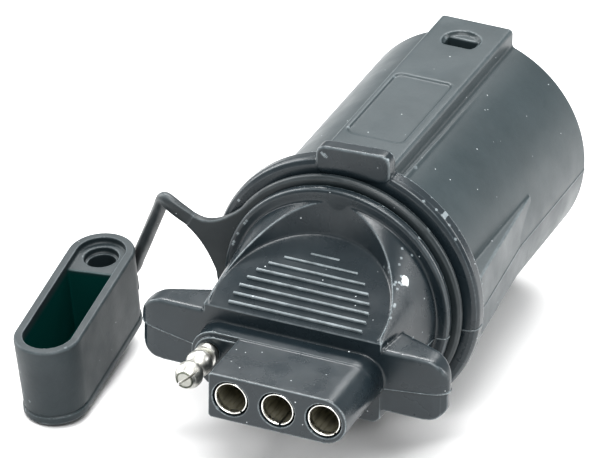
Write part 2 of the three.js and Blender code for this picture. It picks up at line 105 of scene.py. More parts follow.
# ---- mesh building ----
def mesh_object(name, verts, faces):
    mesh = bpy.data.meshes.new(name)
    mesh.from_pydata([tuple(v) for v in verts], [], faces)
    bm = bmesh.new()
    bm.from_mesh(mesh)
    bmesh.ops.recalc_face_normals(bm, faces=bm.faces)
    bm.to_mesh(mesh)
    bm.free()
    obj = bpy.data.objects.new(name, mesh)
    bpy.context.collection.objects.link(obj)
    return obj


def turned(name, profile, sides=192, x=0.0, z=0.0):
    """A profile of (radius, y) turned about a line along Y: it ends on the line, or is a closed ring."""
    verts, rings = [], []
    for r, y in profile:
        if r == 0:
            rings.append([len(verts)] * sides)
            verts.append((x, y, z))
            continue
        rings.append(list(range(len(verts), len(verts) + sides)))
        for i in range(sides):
            a = 2 * math.pi * (i + 0.5) / sides
            verts.append((x + r * math.sin(a), y, z + r * math.cos(a)))
    pairs = list(zip(rings, rings[1:]))
    if profile[0][0] != 0:
        pairs.append((rings[-1], rings[0]))
    faces = []
    for low, high in pairs:
        for i in range(sides):
            j = (i + 1) % sides
            face = list(dict.fromkeys((low[i], low[j], high[j], high[i])))
            if len(face) > 2:
                faces.append(face)
    return mesh_object(name, verts, faces)


def rod(r, y0, y1, sides=128, x=0.0, z=0.0):
    return turned("rod", [(0, y0), (r, y0), (r, y1), (0, y1)], sides, x, z)


def pushed(name, near, far):
    """The solid between two outlines that have the same number of points."""
    n = len(near)
    sides = [(i, (i + 1) % n, n + (i + 1) % n, n + i) for i in range(n)]
    return mesh_object(name, near + far, [tuple(range(n)), tuple(range(n, 2 * n)), *sides])


def prism(outline, y0, y1):
    """An outline of (x, z) points, pushed along Y."""
    return pushed("prism", *([(x, y, z) for x, z in outline] for y in (y0, y1)))


def slab(outline, z0, z1):
    """An outline of (x, y) points, pushed along Z."""
    return pushed("slab", *([(x, y, z) for x, y in outline] for z in (z0, z1)))


def box(x0, x1, y0, y1, z0, z1):
    return prism([(x0, z0), (x1, z0), (x1, z1), (x0, z1)], y0, y1)


def object_of(bm, name):
    """Puts a finished bmesh into a new object."""
    mesh = bpy.data.meshes.new(name)
    bm.to_mesh(mesh)
    bm.free()
    obj = bpy.data.objects.new(name, mesh)
    bpy.context.collection.objects.link(obj)
    return obj


def hull(points):
    bm = bmesh.new()
    for p in points:
        bm.verts.new(p)
    bmesh.ops.convex_hull(bm, input=bm.verts)
    used = {v for f in bm.faces for v in f.verts}
    bmesh.ops.delete(bm, geom=[v for v in bm.verts if v not in used], context="VERTS")
    return object_of(bm, "hull")


def arc(cx, cz, r, a0, a1, steps):
    angles = [a0 + (a1 - a0) * i / steps for i in range(steps + 1)]
    return [(cx + r * math.cos(a), cz + r * math.sin(a)) for a in angles]


def rounded(x0, x1, z0, z1, r, steps=10):
    """The outline of a rectangle with round corners."""
    q = math.pi / 2
    return (arc(x1 - r, z0 + r, r, -q, 0, steps) + arc(x1 - r, z1 - r, r, 0, q, steps)
            + arc(x0 + r, z1 - r, r, q, 2 * q, steps) + arc(x0 + r, z0 + r, r, 2 * q, 3 * q, steps))


def stadium(half_x, half_z, z):
    return rounded(-half_x, half_x, z - half_z, z + half_z, half_z - 0.01, 20)


def bake(obj):
    """Applies an object's modifiers."""
    graph = bpy.context.evaluated_depsgraph_get()
    old = obj.data
    obj.data = bpy.data.meshes.new_from_object(obj.evaluated_get(graph))
    obj.modifiers.clear()
    bpy.data.meshes.remove(old)
    return obj


def boolean(obj, operation, *tools):
    for tool in tools:
        mod = obj.modifiers.new("boolean", "BOOLEAN")
        mod.operation, mod.object, mod.solver = operation, tool, "MANIFOLD"
    bake(obj)
    for tool in tools:
        bpy.data.objects.remove(tool)
    return obj


def join(obj, *tools):
    return boolean(obj, "UNION", *tools)


def cut(obj, *tools):
    return boolean(obj, "DIFFERENCE", *tools)


def common(obj, *tools):
    return boolean(obj, "INTERSECT", *tools)


def soften(obj, voxel, rounds):
    """Turns sharp moulded edges into small fillets: voxels first, then smoothing."""
    mod = obj.modifiers.new("voxels", "REMESH")
    mod.mode, mod.voxel_size, mod.adaptivity = "VOXEL", voxel, 0
    mod = obj.modifiers.new("smooth", "SMOOTH")
    mod.factor, mod.iterations = 0.5, rounds
    return bake(obj)


def merged(name, objects):
    """Several separate closed solids as one piece."""
    bm = bmesh.new()
    for o in objects:
        bm.from_mesh(o.data)
        bpy.data.objects.remove(o)
    return object_of(bm, name)


def to_row(obj, name):
    obj.data.transform(TO_ROW)
    obj.name = obj.data.name = name
    for polygon in obj.data.polygons:
        polygon.use_smooth = True
    return obj


def bevelled(obj, width, segments=2):
    """Rounds every edge sharper than 30 degrees."""
    mod = obj.modifiers.new("bevel", "BEVEL")
    mod.width, mod.segments, mod.limit_method = width, segments, "ANGLE"
    mod.angle_limit = math.radians(30)
    mod.harden_normals = False
    return bake(obj)


# ---- materials ----
class Nodes:
    """A small helper that builds one material."""

    def __init__(self, name):
        self.material = bpy.data.materials.new(name)
        self.material.use_nodes = True
        self.tree = self.material.node_tree
        self.shader = self.tree.nodes["Principled BSDF"]
        self.where = self.add("ShaderNodeTexCoord").outputs["Object"]

    def add(self, kind, inputs=None, **settings):
        node = self.tree.nodes.new(kind)
        for key, value in settings.items():
            setattr(node, key, value)
        for key, value in (inputs or {}).items():
            self.feed(node.inputs[key], value)
        return node

    def feed(self, socket, value):
        if isinstance(value, bpy.types.NodeSocket):
            self.tree.links.new(value, socket)
        else:
            socket.default_value = value

    def noise(self, scale, detail=2.0, rough=0.5, where=None):
        node = self.add("ShaderNodeTexNoise", {"Vector": where or self.where, "Scale": scale,
                                               "Detail": detail, "Roughness": rough})
        return node.outputs["Fac"]

    def ramp(self, value, low, high, out_low=0.0, out_high=1.0):
        node = self.add("ShaderNodeMapRange", {0: value, 1: low, 2: high, 3: out_low, 4: out_high})
        return node.outputs[0]

    def math(self, operation, a, b):
        return self.add("ShaderNodeMath", {0: a, 1: b}, operation=operation).outputs[0]

    def mix(self, factor, a, b):
        node = self.add("ShaderNodeMix", data_type="RGBA")
        for socket, value in ((node.inputs[0], factor), (node.inputs[6], a), (node.inputs[7], b)):
            self.feed(socket, value)
        return node.outputs[2]

    def bump(self, height, distance, strength=1.0, normal=None):
        node = self.add("ShaderNodeBump", {"Height": height, "Distance": distance, "Strength": strength})
        if normal is not None:
            self.feed(node.inputs["Normal"], normal)
        return node.outputs["Normal"]

    def specks(self, per_metre, size):
        """Small scattered grains of dust, 1 on a grain and 0 elsewhere."""
        cells = self.add("ShaderNodeTexVoronoi",
                         {"Vector": self.where, "Scale": per_metre, "Randomness": 1.0})
        wobble = self.noise(per_metre * 9)
        edge = self.math("MULTIPLY", wobble, size)
        grain = self.ramp(self.math("SUBTRACT", cells.outputs["Distance"], edge), 0, size * 0.3, 1, 0)
        few = self.ramp(self.noise(per_metre * 0.7), 0.5, 0.54)
        return self.math("MULTIPLY", grain, few)


def rgb(r, g, b):
    return (r, g, b, 1.0)


# pale colour for convex edges, partly wear and partly painted highlight; dark colour for painted shade in
# concave creases
PALE_EDGE_WEAR_AND_HIGHLIGHT, CREASE_SHADE = (0.36, 0.41, 0.43), (0.003, 0.005, 0.006)
DUST, GLINT_WHITE = (0.62, 0.66, 0.68), (0.62, 0.66, 0.66)
# A painted highlight on the grip: its pale colour is the second colour above, and here are its radius and
# ragged rim, in metres.
GLINT_R, GLINT_RAGGED = 0.0019, 0.0018
GLINT_AT = row(16.76, 32.94, 11.04)     # centre of the painted glint, on the grip's right shoulder


def plastic(name, dark, light, rough, grain, grain_depth, edge_wear_and_highlight, dust=0.0, sheen=0.0, cavity=None,
            painted_glint=None):
    """Moulded plastic: clouded colour, a fine grain, polished and matte patches, paler edges and dust.

    A cavity colour, painted shade deep in a hollow, replaces the colour where the mesh is marked as inside,
    and there the reflection is turned down and the sheen is off. The painted glint is the point in metres
    around which a pale rough patch is painted as a highlight.
    """
    m = Nodes(name)
    clouds = m.noise(55, 4, 0.6)
    fine = m.noise(900, 2)
    tone = m.math("ADD", m.math("MULTIPLY", clouds, 0.75), m.math("MULTIPLY", fine, 0.25))
    color = m.mix(m.ramp(tone, 0.35, 0.65), rgb(*dark), rgb(*light))
    point = m.add("ShaderNodeNewGeometry").outputs["Pointiness"]
    # Convex edges turn pale: partly wear, partly a painted highlight along the edges.
    edge = m.math("MULTIPLY", m.ramp(point, 0.51, 0.55), m.ramp(m.noise(420, 3), 0.3, 0.7, 0.45, 1.0))
    color = m.mix(m.math("MULTIPLY", edge, edge_wear_and_highlight), color, rgb(*PALE_EDGE_WEAR_AND_HIGHLIGHT))
    # Painted shade: concave creases and corners are darkened.
    color = m.mix(m.ramp(point, 0.485, 0.44, 0, 0.6), color, rgb(*CREASE_SHADE))
    roughness = m.ramp(m.noise(160, 3), 0.3, 0.7, rough - 0.05, rough + 0.06)
    if dust:
        grains = m.specks(420, 0.08)
        color = m.mix(m.math("MULTIPLY", grains, dust), color, rgb(*DUST))
        roughness = m.math("MAXIMUM", roughness, m.math("MULTIPLY", grains, 0.8))
    # Painted highlight: a pale, rough, ragged patch around one point stands in for a glint.
    if painted_glint:
        away = m.add("ShaderNodeVectorMath", {0: m.where, 1: tuple(painted_glint)}, operation="DISTANCE")
        ragged = m.math("ADD", away.outputs["Value"], m.math("MULTIPLY", m.noise(900, 3, 0.6), GLINT_RAGGED))
        glint_patch = m.ramp(ragged, GLINT_R + 0.00005, GLINT_R - 0.00005)
        color = m.mix(glint_patch, color, rgb(*GLINT_WHITE))
        roughness = m.math("MAXIMUM", roughness, m.math("MULTIPLY", glint_patch, 0.8))
    # Painted shade: deep in the cap's cavity the colour turns dark teal and the reflection is turned down.
    if cavity:
        inside = m.add("ShaderNodeAttribute", attribute_name="inside").outputs["Fac"]
        color = m.mix(inside, color, rgb(*cavity))
        m.feed(m.shader.inputs["Specular IOR Level"], m.ramp(inside, 0, 1, 0.5, 0.02))
    m.feed(m.shader.inputs["Base Color"], color)
    m.feed(m.shader.inputs["Roughness"], roughness)
    waves = m.bump(m.noise(70, 2), 0.00025, 0.5)
    m.feed(m.shader.inputs["Normal"], m.bump(m.noise(grain, 3, 0.6), grain_depth, 1.0, waves))
    if sheen:
        # no sheen where the cavity's painted shade lies
        m.feed(m.shader.inputs["Sheen Weight"], m.ramp(inside, 0, 1, sheen, 0) if cavity else sheen)
        m.shader.inputs["Sheen Roughness"].default_value = 0.5
    return m.material


def plated(name, color, tarnish, rough, shade_span=None, shade_color=(0.40, 0.385, 0.31), marks=0.5):
    """Bright plating with fine turning marks, with painted shade past a span of y in the barrel's frame."""
    m = Nodes(name)
    spots = m.ramp(m.noise(700, 4, 0.6), 0.48, 0.75)
    metal = m.mix(m.math("MULTIPLY", spots, 0.55), rgb(*color), rgb(*tarnish))
    roughness = m.ramp(m.noise(900, 3), 0.3, 0.7, rough, rough + 0.16)
    # Painted shade: past the span the metal turns darker, rougher and streaked.
    if shade_span:
        y = m.add("ShaderNodeSeparateXYZ", {0: m.where}).outputs["Y"]
        deep = m.ramp(y, *(row(0, at, 0).y for at in shade_span))
        along = m.add("ShaderNodeVectorMath", {0: m.where, 1: (1, 0.12, 1)}, operation="MULTIPLY")
        streaks = m.ramp(m.noise(1500, 3, 0.6, along.outputs[0]), 0.4, 0.62, 0.45, 1.3)
        metal = m.mix(deep, metal, m.mix(streaks, rgb(*(0.45 * c for c in shade_color)), rgb(*shade_color)))
        roughness = m.math("MAXIMUM", roughness, m.math("MULTIPLY", deep, 0.55))
    m.feed(m.shader.inputs["Base Color"], metal)
    m.feed(m.shader.inputs["Roughness"], roughness)
    m.shader.inputs["Metallic"].default_value = 1.0
    rings = m.add("ShaderNodeTexWave", {"Vector": m.where, "Scale": 900, "Distortion": 1.5, "Detail": 2.0},
                  bands_direction="Y").outputs["Fac"]
    m.feed(m.shader.inputs["Normal"], m.bump(rings, 0.00002, marks))
    return m.material


# The grip's material carries the painted glint on its right shoulder.
GRIP = plastic("grip_plastic", (0.009, 0.015, 0.019), (0.014, 0.022, 0.027), 0.28, 3200, 0.00001, 0.6, 0.9,
               painted_glint=GLINT_AT)
SHELL = plastic("shell_plastic", (0.022, 0.033, 0.037), (0.030, 0.043, 0.048), 0.4, 3000, 0.000014, 0.35, 0.8)
RUBBER = plastic("tether_rubber", (0.004, 0.009, 0.011), (0.009, 0.015, 0.018), 0.42, 2400, 0.000014,
                 0.3, 0.5, 0.05)
# The last colour is the painted shade deep in the cap's cavity.
CAP = plastic("cap_rubber", (0.009, 0.017, 0.021), (0.016, 0.026, 0.030), 0.5, 1900, 0.00003, 0.3, 0.6, 0.02,
              (0.0015, 0.044, 0.039))
CARRIER = plastic("carrier_plastic", (0.015, 0.016, 0.018), (0.024, 0.026, 0.028), 0.5, 2600, 0.000016, 0.2)
POTTING = plastic("potting_compound", (0.008, 0.008, 0.009), (0.014, 0.014, 0.015), 0.3, 500, 0.00005, 0.0)
HOLDER = plastic("holder_plastic", (0.036, 0.039, 0.042), (0.05, 0.053, 0.057), 0.5, 2600, 0.000016, 0.2)
# Painted shade on the pin's tip: a dark grey-green in place of its darker reflection.
NICKEL = plated("nickel_plating", (0.60, 0.60, 0.57), (0.36, 0.34, 0.30), 0.3, (1.78, 1.62),
                (0.15, 0.16, 0.135))
# Painted shade deep in each sleeve's bore: a darker brownish metal past the mouth.
SLEEVE = plated("sleeve_plating", (0.84, 0.84, 0.81), (0.5, 0.46, 0.4), 0.2, (0.5, 1.6))
BRASS = plated("blade_brass", (0.74, 0.56, 0.28), (0.58, 0.41, 0.19), 0.34, marks=0.08)


def insulation(name, dark, light):
    return plastic(name, dark, light, 0.35, 1500, 0.00001, 0.0)


LEADS = {
    "right": insulation("lead_green", (0.02, 0.17, 0.04), (0.04, 0.26, 0.07)),
    "left": insulation("lead_yellow", (0.62, 0.42, 0.02), (0.8, 0.6, 0.05)),
    "tail": insulation("lead_brown", (0.11, 0.045, 0.02), (0.18, 0.08, 0.035)),
    "ground": insulation("lead_white", (0.62, 0.61, 0.56), (0.8, 0.79, 0.74)),
}


def dress(obj, material, body, slot, *nodes):
    """Gives a new piece its material, the body it rides on and the CAD nodes that it stands for."""
    obj.data.materials.clear()
    obj.data.materials.append(material)
    if nodes:
        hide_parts(*nodes)
    if body:
        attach(obj, body)
    return obj


# ---- tether strap, a free cord between the ring's web and the dust cap ----
STRAP_R = 1.4
STRAP_ROOT, STRAP_FLAT = 1.4, 7.0       # how far it starts inside the web, and how far its flat root reaches
STRAP_SIDES = 32
STRAP_ROUTE = [
    (-31.94, 41.9, 8.58), (-32.55, 41.9, 8.91), (-33.51, 41.9, 9.4), (-34.91, 41.95, 10.14),
    (-36.27, 42.15, 10.8), (-37.29, 42.5, 11.04), (-38.1, 43.1, 10.5), (-38.91, 44.0, 8.95),
    (-39.95, 45.35, 6.75), (-41.6, 47.05, 3.3), (-43.6, 49.1, -0.9), (-45.6, 51.2, -5.1),
    (-48.04, 54.0, -9.93), (-49.5, 55.3, -13.2),
]

# ---- dust cap's own frame: a stadium that stands on Z = 0, long along Y ----
CAP_H, CAP_BASE, CAP_BAND = 17.6, 2.0, 2.2
CAP_HALF = 14.35                        # from its middle to the centre of a round end
CAP_R, CAP_IN, CAP_FOOT = 6.75, 4.95, 6.3
FOOT_CHAMFER, FOOT_RISE, FOOT_OUT = 0.6, 0.8, 0.25
BOSS_REACH, BOSS_BELOW = 5.6, 1.3       # how far the boss reaches inwards, and lies below the rim
HOLE_R, HOLE_RIM_R = 2.8, 3.45
CAP_TURN = (Matrix.Rotation(math.radians(4), 4, "Z") @ Matrix.Rotation(math.radians(5.6), 4, "X")
            @ Matrix.Rotation(math.radians(-4.2), 4, "Y"))
CAP_AT = (-50.9, 34.4)
LUG_ANGLE, LUG_TOP, LUG_OUT = math.radians(74), 7.0, 1.5


def cap_lift():
    """How high the cap's origin stands so that its lowest point touches the floor."""
    low = 0
    for end in (-CAP_HALF, CAP_HALF):
        for i in range(96):
            a = 2 * math.pi * i / 96
            for r, z in ((CAP_FOOT - FOOT_CHAMFER, 0), (CAP_FOOT + FOOT_OUT, FOOT_RISE)):
                p = CAP_TURN @ Vector((r * math.cos(a), end + r * math.sin(a), z))
                low = min(low, p.z)
    return FLOOR_MM - low


CAP_PLACE = Matrix.Translation((*CAP_AT, cap_lift())) @ CAP_TURN


def on_cap(x, y, z):
    return tuple(CAP_PLACE @ Vector((x, y, z)))


def smooth_route(points, per_span=6):
    """Centripetal Catmull-Rom points through a route."""
    pts = [Vector(p) for p in points]
    pts = [2 * pts[0] - pts[1], *pts, 2 * pts[-1] - pts[-2]]
    out = []
    for span in zip(pts, pts[1:], pts[2:], pts[3:]):
        knots = [0.0]
        for a, b in zip(span, span[1:]):
            knots.append(knots[-1] + math.sqrt((b - a).length))

        def between(a, b, low, high, t):
            return a.lerp(b, (t - knots[low]) / (knots[high] - knots[low]))
        for k in range(per_span):
            t = knots[1] + (knots[2] - knots[1]) * k / per_span
            first = [between(span[i], span[i + 1], i, i + 1, t) for i in range(3)]
            second = [between(first[i], first[i + 1], i, i + 2, t) for i in range(2)]
            out.append(between(*second, 1, 2, t))
    out.append(pts[-2])
    return out


def strap():
    """A strap that is boxy and thin at the web and round further on, with a fine seam at both sides."""
    lug = [(CAP_R + LUG_OUT) * math.cos(LUG_ANGLE), CAP_HALF + (CAP_R + LUG_OUT) * math.sin(LUG_ANGLE)]
    route = smooth_route(STRAP_ROUTE + [on_cap(*lug, LUG_TOP + 1), on_cap(*lug, LUG_TOP + GAP)])
    sides = STRAP_SIDES
    verts, side = [], Vector((0, 1, 0))
    walked = -STRAP_ROOT
    rings = [route[0] - (route[1] - route[0]).normalized() * STRAP_ROOT, *route]
    for i, p in enumerate(rings):
        along = (rings[min(i + 1, len(rings) - 1)] - rings[max(i - 1, 0)]).normalized()
        side = (side - along * side.dot(along)).normalized()
        up = along.cross(side)
        walked += (p - rings[max(i - 1, 0)]).length if i else 0
        oval = min(1.0, max(walked, 0) / STRAP_FLAT)
        power = 1 / (2.6 - 1.6 * oval)
        thick = 0.61 + 0.39 * oval
        for k in range(sides):
            a = 2 * math.pi * k / sides
            r = STRAP_R * (1 - 0.06 * math.cos(2 * a)) * 0.98
            seam = 0.07 if k in (0, sides // 2) else 0.0
            across, high = (math.copysign(abs(v) ** power, v) for v in (math.cos(a), math.sin(a)))
            verts.append(p + side * across * (r + seam) * thick + up * high * r)
    n = len(rings)
    faces = []
    for i in range(n - 1):
        for k in range(sides):
            j = (k + 1) % sides
            faces.append((i * sides + k, i * sides + j, (i + 1) * sides + j, (i + 1) * sides + k))
    faces += [tuple(range(sides)), tuple((n - 1) * sides + k for k in range(sides))]
    obj = to_row(mesh_object("strap", verts, faces), "tether_strap_moulding")
    dress(obj, RUBBER, None, "rubber_black", "tether_strap")
    path = [row(*p) for p in route]
    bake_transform(obj)
    length = sum((b - a).length for a, b in zip(path, path[1:]))
    return obj, path, length


# ---- grip moulding ----
PEDESTAL_Y, WING_Y = 13.8, 18
LIP_Y, GROOVE_Y, FLANGE_Y = 39.0, 40.7, 43.4
GRIP_END, SPIGOT_END = 46.7, 52
LIP_R, NECK_R, FLANGE_R = 23.4, 21.4, 27.6
SHOULDER_R, CHAMBER_R = 21.0, 17.5
FLAT_Z, FLAT_H, FLAT_W = -2.5, 4.75, 18.95
WING_X, WING_TOP, WING_LOW = 18.3, 8.0, -9.4
EAR_X, EAR_Z, EAR_CORNER = 31.7, 6.6, 4.6
SCOOP_R, SCOOP_Y, SCOOP_SLOPE = 17.1, 20.2, math.atan(0.404)
SCOOP_DRAFT = math.tan(math.radians(7))
BARS, BAR_PITCH, BAR_Y = 8, 2.02, 19.6
BAR_SPAN_R, BAR_RISE, BAR_HALF = 13.9, 0.62, 0.23
TAB_LEFT, TAB_RIGHT, TAB_H, TAB_TOP, TAB_CORNER = -6.5, 8.8, 6, 30.2, 1.9
PARTING = [(-40, -0.2), (-20.6, -3.8), (17.8, -4.2), (40, -1.7)]
PARTING_HALF = 0.1
FAR = 40                                # beyond every side of the moulding

# terminals, each socket with its x and its slit's turn in degrees
PITCH, BORE_R, BORE_END, PIN_BORE_R = 9.525, 3.65, 17, 2.1
PIN_X, PIN_Z = -14.9, FLAT_Z + 0.8
SOCKETS = {"right": (-PITCH / 2, 43), "left": (PITCH / 2, 10), "tail": (1.5 * PITCH, 46)}

# barrel
SHELL_R, WALL = 24.1, 2.6


def scoop_floor(y):
    return FLAT_Z + WING_TOP + (y - WING_Y) * math.tan(SCOOP_SLOPE)


def round_pillar(sections, sides=160):
    """A hull of circles about the scoop's upright centre line, each a (radius, z)."""
    return hull([(r * math.cos(2 * math.pi * i / sides), SCOOP_Y + r * math.sin(2 * math.pi * i / sides), z)
                 for r, z in sections for i in range(sides)])


def scoop():
    """The thumb scoop: a pillar with draft, above a sloping floor."""
    low, height = scoop_floor(SCOOP_Y) + 2, 24
    wide = SCOOP_R + height * SCOOP_DRAFT
    pillar = round_pillar([(SCOOP_R, low - 7), (SCOOP_R, low), (wide, low + height)])
    y0, y1, high = WING_Y - 30, WING_Y + 40, 70
    above = hull([(x, y, z) for x in (-FAR, FAR) for y, z in
                  ((y0, scoop_floor(y0)), (y1, scoop_floor(y1)), (y0, high), (y1, high))])
    return common(pillar, above)


def ears():
    """Both ears in one bar, whose half below the parting line is a little smaller."""
    tip = [(2.6, 0), (1.0, 0.35), (0, 1.4), (0, 2.6), (0.5, 3.6), (1.6, 4.2), (EAR_X - WING_X, 9)]
    right = [(EAR_X - inset, WING_Y + back) for inset, back in tip]
    plan = right + [(-x, y) for x, y in reversed(right)]
    front = rounded(-EAR_X, EAR_X, FLAT_Z - EAR_Z, FLAT_Z + EAR_Z, EAR_CORNER, 16)
    whole = common(slab(plan, FLAT_Z - 10, FLAT_Z + 10), prism(front, WING_Y - 1, WING_Y + 11))
    soften(whole, 0.35, 12)
    ledge = cut(prism([*PARTING, (FAR, -20), (-FAR, -20)], WING_Y - 2, WING_Y + 12),
                slab([(x * 0.988, WING_Y + 0.3 + (y - WING_Y) * 0.92) for x, y in plan], -22, 5))
    return cut(whole, ledge)


def flat_block():
    """The block with three sockets on its pedestal. Its left end is square, beside the bare pin."""
    left, low, top = -PITCH * 0.97, FLAT_Z - FLAT_H, FLAT_Z + FLAT_H
    nose = common(prism(rounded(left, FLAT_W + 8, low, top, 0.5, 4), 0, PEDESTAL_Y + 1),
                  prism(stadium(FLAT_W, FLAT_H + 0.01, FLAT_Z), -1, WING_Y))
    return join(nose, prism(stadium(FLAT_W - 0.9, FLAT_H - 0.6, FLAT_Z), PEDESTAL_Y - 0.8, WING_Y),
                prism(stadium(FLAT_W, FLAT_H + 0.15, FLAT_Z), PEDESTAL_Y, WING_Y + 1))


def flange():
    """The lip, the ring's groove, the flange with its catch tab, and the spigot inside the barrel."""
    spigot = SHELL_R - WALL - GAP
    disc = turned("flange", [
        (0, LIP_Y), (LIP_R - 0.8, LIP_Y), (LIP_R - 0.2, LIP_Y + 0.25), (LIP_R, LIP_Y + 0.8),
        (LIP_R, GROOVE_Y), (NECK_R, GROOVE_Y), (NECK_R, FLANGE_Y), (FLANGE_R - 1.2, FLANGE_Y),
        (FLANGE_R - 0.4, FLANGE_Y + 0.4), (FLANGE_R, FLANGE_Y + 1.2), (FLANGE_R, GRIP_END),
        (spigot, GRIP_END), (spigot, SPIGOT_END), (0, SPIGOT_END)])
    tab = prism(rounded(TAB_LEFT, TAB_RIGHT, -TAB_H, 0, TAB_CORNER), 0, GRIP_END - FLANGE_Y - 0.1)
    soften(tab, 0.25, 12)
    tab.data.transform(Matrix.Translation((0, FLANGE_Y - 0.2, TAB_TOP))
                       @ Matrix.Rotation(math.radians(-3), 4, "Y"))
    return join(disc, tab)


def grip_body():
    """The whole grip: shoulders from the wing to the lip, scooped out, and all that stands on them."""
    low, top = FLAT_Z + WING_LOW, FLAT_Z + WING_TOP
    points = []
    for x in (-WING_X, WING_X):
        points += [(x, WING_Y, low + 1), (x, WING_Y, top), (x * 0.93, WING_Y, low)]
    for i in range(160):
        a = 2 * math.pi * (i + 0.5) / 160
        points.append((SHOULDER_R * math.sin(a), LIP_Y + 0.5, SHOULDER_R * math.cos(a)))
    body = cut(hull(points), scoop())
    body = join(body, ears(), flat_block(), flange())
    chamber = join(prism(stadium(17.8, 4.2, FLAT_Z), BORE_END - 0.5, LIP_Y + 2),
                   rod(CHAMBER_R, LIP_Y + 1, SPIGOT_END + 1))
    bores = [rod(BORE_R, -1, BORE_END, 64, x, FLAT_Z) for x, _ in SOCKETS.values()]
    return cut(body, chamber, rod(PIN_BORE_R, PEDESTAL_Y - 1, BORE_END, 48, PIN_X, PIN_Z), *bores)


def grip_bars():
    """The raised bars on the scoop's floor, shorter and lower towards the back."""
    bars = []
    for i in range(BARS):
        y = BAR_Y + i * BAR_PITCH
        half = math.sqrt(BAR_SPAN_R ** 2 - (y - SCOOP_Y) ** 2)
        rise = BAR_RISE - 0.14 * max(0, i - 4)
        section = [(-half, -0.6), (half, -0.6), (half - 0.2, rise), (0.2 - half, rise)]
        bar = prism(section, -BAR_HALF, BAR_HALF)
        bevelled(bar, 0.09, 3)
        bar.data.transform(Matrix.Translation((0, y, scoop_floor(y) - 0.1))
                           @ Matrix.Rotation(SCOOP_SLOPE, 4, "X"))
        bars.append(bar)
    return merged("bars", bars)


def parting_flash(body, line, rise, y0, y1):
    """The hairline that the mould's halves leave, a thin rim around the outside of a moulding."""
    swollen = bpy.data.objects.new("flash", body.data.copy())
    bpy.context.collection.objects.link(swollen)
    mod = swollen.modifiers.new("swell", "DISPLACE")
    mod.strength, mod.mid_level = rise, 0
    bake(swollen)
    strip = [(x, z + PARTING_HALF) for x, z in line] + [(x, z - PARTING_HALF) for x, z in reversed(line)]
    return common(swollen, prism(strip, y0, y1))


# ---- plug shell ----
SHELL_Y, LENGTH = GRIP_END + GAP, 108.2
KEY_X, KEY_AT, KEY_LOW, KEY_TOP = 7.65, 0.35, 18, 26.3
GUSSET_END, GUSSET_HALF = 80, 6.9
CARRIER_Y = 66
SEAT_STEP, SEAT_T, SEAT_SLOPE = 2, 2.3, 2       # the inner ring that the blade carrier sits on
PANEL_HALF, PANEL_Y0, PANEL_Y1, PANEL_CORNER, PANEL_DEEP = 6, 56.5, 82.5, 1.6, 0.35
WINDOW_X, WINDOW_Y, WINDOW_R, WINDOW_FLAT, WINDOW_DEEP = 0.4, 99.7, 3.85, 2.7, 0.7
SLOT_LEFT, SLOT_RIGHT, SLOT_END = -2.85, 3.45, 101.4
BARREL_PARTING = [(-FAR, -1.2), (FAR, -1.2)]


def gusset(side):
    """A wedge beside the barrel, thick at the flange."""
    plan = [(SHELL_R - 2.4, SHELL_Y), (SHELL_R + 2.6, SHELL_Y), (SHELL_R + 2.2, SHELL_Y + 4),
            (SHELL_R - 0.6, GUSSET_END), (SHELL_R - 2.4, GUSSET_END)]
    wedge = slab([(side * x, y) for x, y in plan], -GUSSET_HALF - 0.1, GUSSET_HALF + 0.1)
    section = rounded(-FAR, FAR, -GUSSET_HALF, GUSSET_HALF, 1)
    return common(wedge, prism(section, SHELL_Y - 1, GUSSET_END + 1))


def shell_body():
    """The barrel with its key rib and gussets, the rib's plain panel and the latch window."""
    inner = SHELL_R - WALL
    seat, seat_y, seat_foot = inner - SEAT_STEP, CARRIER_Y - GAP, CARRIER_Y - GAP - SEAT_T
    slope_y = seat_foot - SEAT_SLOPE
    tube = turned("shell", [
        (inner, SHELL_Y), (SHELL_R, SHELL_Y), (SHELL_R, LENGTH - 0.4), (SHELL_R - 0.4, LENGTH),
        (inner + 0.3, LENGTH), (inner, LENGTH - 0.3),
        (inner, seat_y), (seat, seat_y), (seat, seat_foot), (inner, slope_y)], 256)
    key = prism(rounded(KEY_AT - KEY_X, KEY_AT + KEY_X, KEY_LOW, KEY_TOP, 0.8), SHELL_Y, LENGTH)
    strip = hull([(KEY_AT + side * (KEY_X + 1.2), y, z) for side in (-1, 1)
                  for y, top in ((SHELL_Y, SHELL_R - 1.4), (LENGTH - 1, SHELL_R - 2))
                  for z in (KEY_LOW, top)])
    extras = join(key, strip, gusset(1), gusset(-1))
    cut(extras, rod(inner, SHELL_Y - 1, slope_y, 256), rod(seat, SHELL_Y, LENGTH - 1, 256),
        rod(inner, seat_y, LENGTH + 1, 256))
    body = join(tube, extras)
    panel = slab(rounded(-PANEL_HALF, PANEL_HALF, PANEL_Y0, PANEL_Y1, PANEL_CORNER),
                 KEY_TOP - PANEL_DEEP, KEY_TOP + 1)
    ledge = latch_window(KEY_TOP - WINDOW_DEEP, -9, 9, LENGTH)
    return cut(body, panel, ledge, latch_window(17, SLOT_LEFT, SLOT_RIGHT, SLOT_END))


def latch_window(z, x0, x1, end):
    """The window by the rim, a round cutter with flat sides, from z upwards."""
    steps = [2 * math.pi * i / 72 for i in range(72)]
    whole = hull([(WINDOW_X + WINDOW_R * math.cos(a), WINDOW_Y + WINDOW_R * math.sin(a), h)
                  for h in (z, FAR) for a in steps])
    return common(whole, box(x0, x1, WINDOW_Y - WINDOW_FLAT, end, z - 1, FAR + 1))


# ---- tether ring ----
RING_Y, RING_OUT, RING_T = 41.9, 25.0, 1.7
WEB_TOP, WEB_LOW = (-31.0, 9.72), (-32.35, 7.15)


